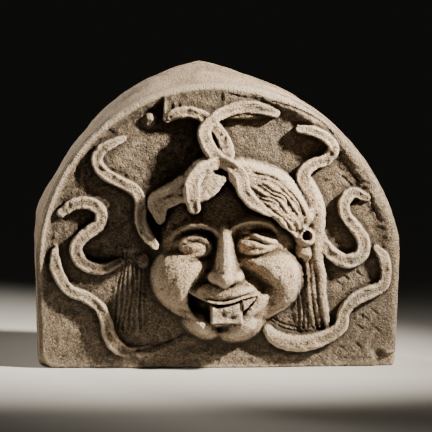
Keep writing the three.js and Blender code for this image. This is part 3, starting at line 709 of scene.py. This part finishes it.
def carve():
    """How deep each place of the grid lies in the stone."""
    height = relief()
    slope = np.sqrt(1 + sum(g * g for g in np.gradient(height, STEP)))
    slope = np.minimum(slope, 3)[..., None]
    inside = ((height[..., None] - PS) / slope).astype(np.float32)
    for name, points in SNAKES.items():
        run = curve(points, 5)
        window = window_of(run.min(0)[:3] - SNAKE_MARGIN, run.max(0)[:3] + SNAKE_MARGIN)
        depth = snake_depth(run, window, SMOOTH_TAILS.get(name, PAST_THE_TAIL))
        inside[window] = smooth_max(inside[window], depth, SNAKE_BLEND)
    back_share = np.clip(-PS / DEPTH, 0, 1)
    front, back = edge_reach(FRONT_EDGE) - RADIUS, edge_reach(BACK_EDGE) - RADIUS
    side = front[..., None] + (back - front)[..., None] * back_share
    side = np.minimum(side, DEEP).astype(np.float32)
    wear = np.where(PS > -DEPTH / 3, FRONT_WEAR, ARRIS_WEAR)
    inside = smooth_min(inside, side, wear)
    under = np.broadcast_to(Z[..., None], inside.shape).astype(np.float32)
    inside = smooth_min(inside, under, UNDER_WEAR)
    corner = ((X + HALF_WIDTH + Z) * math.sqrt(0.5) - CORNER_WEAR)[..., None]
    corner = np.minimum(corner + CORNER_DRAFT * np.maximum(-PS, 0), DEEP).astype(np.float32)
    inside = smooth_min(inside, corner, CORNER_BLEND)
    return smooth_min(inside, (PS + DEPTH).astype(np.float32)[None, None, :], ARRIS_WEAR)


# From the grid to a mesh.


def skin(inside):
    """Points and four-sided faces over the surface where the depth is zero."""
    solid = inside > 0
    small = tuple(n - 1 for n in solid.shape)
    corners = list(np.ndindex(2, 2, 2))
    views = [tuple(slice(c, c + n) for c, n in zip(corner, small)) for corner in corners]
    count = sum(solid[view].astype(np.uint8) for view in views)
    active = (count > 0) & (count < 8)
    cells = np.argwhere(active)
    number = np.full(small, -1, np.int32)
    number[active] = np.arange(len(cells))
    values = np.stack([inside[view][active] for view in views], axis=1)
    total, hits = np.zeros((len(cells), 3)), np.zeros(len(cells))
    for a in range(8):
        for b in range(a + 1, 8):
            step = np.subtract(corners[b], corners[a])
            if np.abs(step).sum() != 1:
                continue
            crossed = (values[:, a] > 0) != (values[:, b] > 0)
            t = values[crossed, a] / (values[crossed, a] - values[crossed, b])
            total[crossed] += np.array(corners[a]) + t[:, None] * step
            hits[crossed] += 1
    points = np.array([XS[0], ZS[0], PS[0]]) + STEP * (cells + total / hits[:, None])
    faces = []
    for axis in range(3):
        across, up = (axis + 1) % 3, (axis + 2) % 3
        near = [slice(None)] * 3
        near[axis] = slice(0, -1)
        far = list(near)
        far[axis] = slice(1, None)
        here = solid[tuple(near)]
        change = here != solid[tuple(far)]
        places = np.argwhere(change)
        places = places[(places[:, across] > 0) & (places[:, up] > 0)]
        places = places[(places[:, across] < small[across]) & (places[:, up] < small[up])]
        out = here[tuple(places.T)]
        ring = []
        for da, du in ((1, 1), (0, 1), (0, 0), (1, 0)):
            shifted = places.copy()
            shifted[:, across] -= da
            shifted[:, up] -= du
            ring.append(number[tuple(shifted.T)])
        ring = np.stack(ring, axis=1)
        faces.append(np.where(out[:, None], ring, ring[:, ::-1]))
    return points, np.vstack(faces)


def main_piece(points, faces):
    """The largest connected piece of a mesh."""
    label = np.arange(len(points))
    edges = np.vstack([faces[:, [0, 1]], faces[:, [1, 2]], faces[:, [2, 3]]])
    while True:
        low = np.minimum(label[edges[:, 0]], label[edges[:, 1]])
        new = label.copy()
        np.minimum.at(new, edges[:, 0], low)
        np.minimum.at(new, edges[:, 1], low)
        new = new[new]
        if (new == label).all():
            break
        label = new
    names, counts = np.unique(label, return_counts=True)
    keep = label == names[counts.argmax()]
    place = np.cumsum(keep) - 1
    return points[keep], place[faces[keep[faces[:, 0]]]]


def normals_of(points, faces):
    a, b = points[faces[:, 2]] - points[faces[:, 0]], points[faces[:, 3]] - points[faces[:, 1]]
    flat = np.cross(a, b)
    normals = np.zeros_like(points)
    for corner in range(4):
        np.add.at(normals, faces[:, corner], flat)
    return normals / np.maximum(np.linalg.norm(normals, axis=1, keepdims=True), 1e-9)


# How far the weathering moves the surface, in millimetres: its waves, pecking, pits, chips off the edges,
# broad and small waves on the back, and the tool's marks along the arch.
WAVES = 0.5
PECKING = 0.6
PIT_DEPTH = 1.1
CHIPPING = 2.6
BACK_WAVES = (1.2, 0.5)
ARCH_MARKS = 1.3

# Distances from the springing centre where the rim begins, and between which the arch is marked.
RIM_START = (205, 211)
ARCH_BAND = ((186, 192), (206, 212))


def pitted(points):
    """How pitted each place is: small pits, in clusters."""
    return ramp(0.2, 0.7, noise(points, 3.6, 21.1)) * ramp(-0.35, 0.45, noise(points, 15, 6.6))


def weathered(points, normals, hollow):
    """The worn, pecked surface: waves, tool marks and pits, deeper on the field than on the face, and chips
    along the edges."""
    x, z, p = points.T
    face = ramp(25, 40, p) * ramp(-0.1, 0.4, normals[:, 2])
    back = ramp(-4, -14, p)
    sunk = ramp(0.52, 0.62, hollow)
    edge = ramp(0.44, 0.3, hollow)
    reach = np.hypot(x, np.maximum(z - SPRING, 0))
    rough = (1 - 0.15 * face) * (1 - back) * (1 - 0.75 * ramp(*RIM_START, reach))
    height = WAVES * rough * noise(points, 22) + WAVES * rough * noise(points, 9, 5.3)
    height += (PECKING * rough + 0.1 * (1 - back) + 0.3 * sunk) * noise(points, 4.3, 11.7)
    height -= (PIT_DEPTH * rough + 0.4 * sunk) * pitted(points)
    chips = ramp(0.1, 0.7, noise(points, 13, 3.7)) * (0.6 + 0.4 * noise(points, 5, 8.1))
    height -= edge * (1 - 0.7 * face) * CHIPPING * chips
    broad, small = BACK_WAVES
    height += back * (broad * noise(points, 34, 2.2) + small * noise(points * [1, 1, 0.35], 10, 31))
    band = plateau(reach, *ARCH_BAND) * (z > SPRING) * ramp(60, 0, x)
    height += ARCH_MARKS * band * noise(points * [1, 0.4, 0.6], 4, 41)
    return points + normals * height[:, None]


def sample(volume, points):
    """Values of a grid at points, between its places."""
    place = (points - [XS[0], ZS[0], PS[0]]) / STEP
    place = np.clip(place, 0, np.array(volume.shape) - 1.001)
    cell = place.astype(int)
    t = place - cell
    total = 0
    for corner in np.ndindex(2, 2, 2):
        i, j, k = (cell + corner).T
        total = total + np.prod(np.where(corner, t, 1 - t), axis=1) * volume[i, j, k]
    return total


def top_of(inside):
    """The height of the stone's front surface over each place of the field."""
    last = len(PS) - 1 - np.argmax(inside[..., ::-1] > 0, axis=2)
    here = np.take_along_axis(inside, last[..., None], 2)[..., 0]
    above = np.take_along_axis(inside, np.minimum(last + 1, len(PS) - 1)[..., None], 2)[..., 0]
    share = np.clip(here / np.maximum(here - above, 1e-3), 0, 1)
    return np.where(here > 0, PS[last] + STEP * share, 0)


def to_world(points):
    x, z, p = points.T
    return np.c_[x * MM, FIELD_Y - p * MM, z * MM]


def from_world(points):
    x, y, z = points.T
    return np.c_[x / MM, z / MM, (FIELD_Y - y) / MM]


def mesh_object(name, points, faces):
    mesh = bpy.data.meshes.new(name)
    mesh.from_pydata(to_world(points).tolist(), [], faces.tolist())
    mesh.validate()
    mesh.update()
    piece = bpy.data.objects.new(name, mesh)
    bpy.context.scene.collection.objects.link(piece)
    return piece


def thin_out(piece, limit):
    """Takes faces away where the surface is flattest, down to the limit."""
    triangles = sum(len(face.vertices) - 2 for face in piece.data.polygons)
    thinner = piece.modifiers.new("thinner", "DECIMATE")
    thinner.ratio = min(1, limit / triangles)
    thinner.use_collapse_triangulate = True
    bpy.context.view_layer.objects.active = piece
    bpy.ops.object.modifier_apply(modifier=thinner.name)


# Stains, for ochre and for bluish grey: place, reach and strength.
STAINS = {
    "ochre": [
        ((86, 252, 0), 30, 1.0),
        ((-125, 175, 0), 26, 0.8),
        ((-70, 290, 0), 34, 0.5),
        ((150, 240, 0), 30, 0.4),
    ],
    "cool": [
        ((172, 128, 12), 16, 1.0),
        ((176, 88, 14), 24, 0.7),
        ((0, 75, 60), 16, 0.5),
        ((70, 275, 0), 34, 0.6),
    ],
}


def grime_and_shade(z, p):
    """How much grime and painted shade lie on each place: darker on the low parts of the field, and between
    the top snakes.
    """
    field = ramp(19, 4, p) * ramp(-8, 0, p)
    top = ramp(297, 303, z) * ramp(16, 14, p) * ramp(0, 6, p)
    return np.maximum(field, top)


def paint(piece, hollow, deep, fine):
    """Stores on each point how hollow its place is, close by and further round, how far it stands out of what
    is next to it, how much grime and painted shade it gets, how pitted it is, and the stains."""
    count = len(piece.data.vertices)
    flat = np.zeros(count * 3, np.float32)
    piece.data.vertices.foreach_get("co", flat)
    points = from_world(flat.reshape(-1, 3).astype(float))
    _, z, p = points.T
    on_front = ramp(-2, 2, p)
    layers = {"hollow": sample(hollow, points), "deep": sample(deep, points), "low": grime_and_shade(z, p)}
    layers["fine"] = on_front * sample(np.repeat(fine[..., None], len(PS), axis=2), points)
    layers["pitted"] = pitted(points) * on_front
    for name, spots in STAINS.items():
        total = np.zeros(count)
        for place, reach, strength in spots:
            gap = np.linalg.norm(points - place, axis=1) / reach
            total += strength * np.exp(-(gap**2))
        layers[name] = total
    for name, values in layers.items():
        layer = piece.data.attributes.new(name, "FLOAT", "POINT")
        layer.data.foreach_set("value", values.astype(np.float32))


# The stone's colours, in linear red, green and blue. Hollow shade, deep shade and fine hollow shade are
# painted shade, and grime and shade is grime and painted shade together.
COLOURS = {
    "stone": (0.375, 0.265, 0.165),
    "darker": (0.28, 0.205, 0.135),
    "lighter": (0.47, 0.35, 0.23),
    "ochre": (0.24, 0.14, 0.055),
    "cool": (0.21, 0.215, 0.22),
    "dark grain": (0.08, 0.06, 0.04),
    "bright grain": (0.60, 0.50, 0.375),
    "pits": (0.075, 0.055, 0.036),
    "grime_and_shade": (0.056, 0.043, 0.029),
    "flecks": (0.36, 0.29, 0.21),
    "fine hollow shade": (0.05, 0.036, 0.023),
    "fine crests": (0.54, 0.44, 0.32),
    "hollow_shade": (0.035, 0.025, 0.016),
    "deep_shade": (0.045, 0.033, 0.021),
    "worn edges": (0.55, 0.445, 0.32),
}


def stone_material():
    material = bpy.data.materials.new("weathered_stone")
    material.use_nodes = True
    nodes, links = material.node_tree.nodes, material.node_tree.links
    shader = nodes["Principled BSDF"]
    shader.inputs["Specular IOR Level"].default_value = 0.25
    place = nodes.new("ShaderNodeTexCoord").outputs["Object"]

    def value(name):
        """What paint() stored under that name."""
        node = nodes.new("ShaderNodeAttribute")
        node.attribute_name = name
        return node.outputs["Fac"]

    def noise_of(scale, detail=4, rough=0.55):
        node = nodes.new("ShaderNodeTexNoise")
        node.inputs["Scale"].default_value = scale
        node.inputs["Detail"].default_value = detail
        node.inputs["Roughness"].default_value = rough
        links.new(place, node.inputs["Vector"])
        return node.outputs["Fac"]

    def fitted(source, low, high, start=0.0, end=1.0):
        """A value stretched so that low becomes start and high becomes end."""
        node = nodes.new("ShaderNodeMapRange")
        node.inputs["From Min"].default_value = low
        node.inputs["From Max"].default_value = high
        node.inputs["To Min"].default_value = start
        node.inputs["To Max"].default_value = end
        links.new(source, node.inputs["Value"])
        return node.outputs["Result"]

    def maths(kind, a, b):
        node = nodes.new("ShaderNodeMath")
        node.operation = kind
        for socket, given in zip(node.inputs, (a, b)):
            if isinstance(given, (int, float)):
                socket.default_value = given
            else:
                links.new(given, socket)
        return node.outputs[0]

    def layer(under, name, share):
        """A colour laid over what is under it, by its share."""
        node = nodes.new("ShaderNodeMix")
        node.data_type = "RGBA"
        node.inputs["B"].default_value = (*COLOURS[name], 1)
        links.new(share, node.inputs["Factor"])
        if isinstance(under, tuple):
            node.inputs["A"].default_value = (*under, 1)
        else:
            links.new(under, node.inputs["A"])
        return node.outputs["Result"]

    # From the bare stone to what lies on it, and the painted shade in its hollows and on the low field.
    colour = layer(COLOURS["stone"], "darker", fitted(noise_of(9, 3), 0.42, 0.62))
    colour = layer(colour, "lighter", fitted(noise_of(26, 4), 0.5, 0.72, 0, 0.7))
    patches = fitted(noise_of(130, 5, 0.7), 0.3, 0.62, 0.95, 0.6)
    colour = layer(colour, "ochre", maths("MULTIPLY", value("ochre"), fitted(noise_of(40), 0.3, 0.7)))
    colour = layer(colour, "cool", maths("MULTIPLY", value("cool"), fitted(noise_of(60), 0.25, 0.65)))
    grain = noise_of(420, 3, 0.7)
    colour = layer(colour, "dark grain", fitted(grain, 0.51, 0.63, 0, 0.85))
    colour = layer(colour, "bright grain", fitted(grain, 0.48, 0.37, 0, 0.8))
    colour = layer(colour, "pits", maths("MULTIPLY", value("pitted"), 0.7))
    # Grime and painted shade together: darker in patches on the low parts of the field and between the top
    # snakes.
    colour = layer(colour, "grime_and_shade", maths("MULTIPLY", value("low"), patches))
    colour = layer(colour, "flecks", maths("MULTIPLY", value("low"), fitted(grain, 0.45, 0.36, 0, 0.4)))
    # Painted shade in small hollows, where the surface lies below its blurred self.
    colour = layer(colour, "fine hollow shade", fitted(value("fine"), -0.4, -2.4, 0, 0.6))
    colour = layer(colour, "fine crests", fitted(value("fine"), 0.6, 2.4, 0, 0.5))
    # Painted shade: darker in hollows, where much stone lies close round a place, in patches.
    hollow_shade = maths("MULTIPLY", fitted(value("hollow"), 0.51, 0.66), fitted(noise_of(90), 0.25, 0.6, 0.7, 1))
    colour = layer(colour, "hollow_shade", maths("MULTIPLY", hollow_shade, 0.62))
    # Painted shade: darker in broad, deep hollows, further round a place, in patches.
    deep_shade = maths("MULTIPLY", fitted(value("deep"), 0.54, 0.7), fitted(noise_of(55), 0.3, 0.7, 0.4, 0.75))
    colour = layer(colour, "deep_shade", deep_shade)
    worn = maths("MULTIPLY", fitted(value("hollow"), 0.46, 0.3), fitted(noise_of(70), 0.3, 0.65, 0.3, 0.9))
    colour = layer(colour, "worn edges", maths("MULTIPLY", worn, 0.6))
    links.new(colour, shader.inputs["Base Color"])
    links.new(fitted(noise_of(120), 0.3, 0.7, 0.72, 0.92), shader.inputs["Roughness"])

    # The grain and the pinholes that are too small for the mesh.
    pinholes = nodes.new("ShaderNodeTexVoronoi")
    pinholes.inputs["Scale"].default_value = 330
    links.new(place, pinholes.inputs["Vector"])
    surface = maths("ADD", fitted(pinholes.outputs["Distance"], 0.0, 0.45, 0, 0.5), noise_of(260, 5, 0.7))
    surface = maths("ADD", surface, maths("MULTIPLY", noise_of(900, 3, 0.7), 0.4))
    bump = nodes.new("ShaderNodeBump")
    bump.inputs["Strength"].default_value = 1.0
    bump.inputs["Distance"].default_value = 0.003
    links.new(surface, bump.inputs["Height"])
    links.new(bump.outputs["Normal"], shader.inputs["Normal"])
    return material


def plain_material(name, colour, roughness):
    material = bpy.data.materials.new(name)
    material.use_nodes = True
    shader = material.node_tree.nodes["Principled BSDF"]
    shader.inputs["Base Color"].default_value = (*colour, 1)
    shader.inputs["Roughness"].default_value = roughness
    return material


# The block. How hollow a place is comes from the share of stone round it, close by and further off, and its
# fine relief from how it stands against its blurred self, all within these distances. The material darkens
# the hollow, deep and small hollow places by these values, as painted shade.
HOLLOW_REACH = 3.2
DEEP_REACH = 10
FINE_REACH = 3.5


def make_block():
    inside = carve()
    points, faces = main_piece(*skin(inside))
    filled = (inside > 0).astype(np.float32)
    hollow, deep = blurred(filled, HOLLOW_REACH), blurred(filled, DEEP_REACH)
    top = top_of(inside)
    fine = top - blurred(top, FINE_REACH)
    points = weathered(points, normals_of(points, faces), sample(hollow, points))
    points[:, 1] = np.maximum(points[:, 1], 0)
    piece = mesh_object("carved_lunette_block", points, faces)
    thin_out(piece, FACE_LIMIT)
    paint(piece, hollow, deep, fine)
    piece.data.materials.append(stone_material())
    piece.data.shade_smooth()
    return piece


block = make_block()
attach(block, "root")
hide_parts("gorgon_relief_block")

# The stage, in metres. Each lamp is given by the direction that it stands in from what it lights, its
# distance, its size and its power.
FLOOR_SIZE = 14
FLOOR_DROP = 0.0004
FLOOR_COLOUR = (0.5, 0.49, 0.47)
CAMERA_DISTANCE = 8.0
CAMERA_ELEVATION = 6
CAMERA_AZIMUTH = -3
CAMERA_AIM = Vector((-0.002, FIELD_Y, 0.184))
CAMERA_LENS = 551
CAMERA_SENSOR = 36
LIGHT_AIM = Vector((0.06, FIELD_Y, 0.25))
LIGHT_SPREAD = 0.52
LIGHT_COLOUR = (1.0, 0.92, 0.80)
LAMPS = {
    "key": (Vector((0.75, -0.41, 0.53)), 1.7, 0.14, 6.2),
    "rim": (Vector((-0.85, -0.06, 0.52)), 2.0, 0.6, 0.7),
    "back": (Vector((-0.45, 0.80, 0.40)), 1.7, 0.6, 1.5),
}
SKY_COLOUR = (0.9, 0.89, 0.87)
SKY_STRENGTH = 0.012


def make_floor():
    bpy.ops.mesh.primitive_plane_add(size=FLOOR_SIZE, location=(0, 0, -FLOOR_DROP))
    floor = bpy.context.object
    floor.name = "floor"
    floor.data.materials.append(plain_material("pale_floor", FLOOR_COLOUR, 0.9))


def aimed(thing, place, aim):
    thing.location = place
    thing.rotation_euler = (aim - place).to_track_quat("-Z", "Y").to_euler()


def make_light(name, direction, distance, size, power):
    light = bpy.data.lights.new(name, "AREA")
    light.size = size
    light.spread = LIGHT_SPREAD
    light.energy = power
    light.color = LIGHT_COLOUR
    lamp = bpy.data.objects.new(name, light)
    bpy.context.scene.collection.objects.link(lamp)
    aimed(lamp, LIGHT_AIM + direction.normalized() * distance, LIGHT_AIM)


def make_camera():
    camera = bpy.data.objects.new("camera", bpy.data.cameras.new("camera"))
    camera.data.lens = CAMERA_LENS
    camera.data.sensor_width = CAMERA_SENSOR
    a, e = math.radians(CAMERA_AZIMUTH), math.radians(CAMERA_ELEVATION)
    direction = Vector((math.sin(a) * math.cos(e), -math.cos(a) * math.cos(e), math.sin(e)))
    aimed(camera, CAMERA_AIM + direction * CAMERA_DISTANCE, CAMERA_AIM)
    bpy.context.scene.collection.objects.link(camera)
    bpy.context.scene.camera = camera


def make_world():
    world = bpy.data.worlds.new("studio")
    world.use_nodes = True
    sky = world.node_tree.nodes["Background"]
    sky.inputs["Color"].default_value = (*SKY_COLOUR, 1)
    sky.inputs["Strength"].default_value = SKY_STRENGTH
    bpy.context.scene.world = world


make_floor()
for lamp_name, lamp in LAMPS.items():
    make_light(lamp_name, *lamp)
make_camera()
make_world()
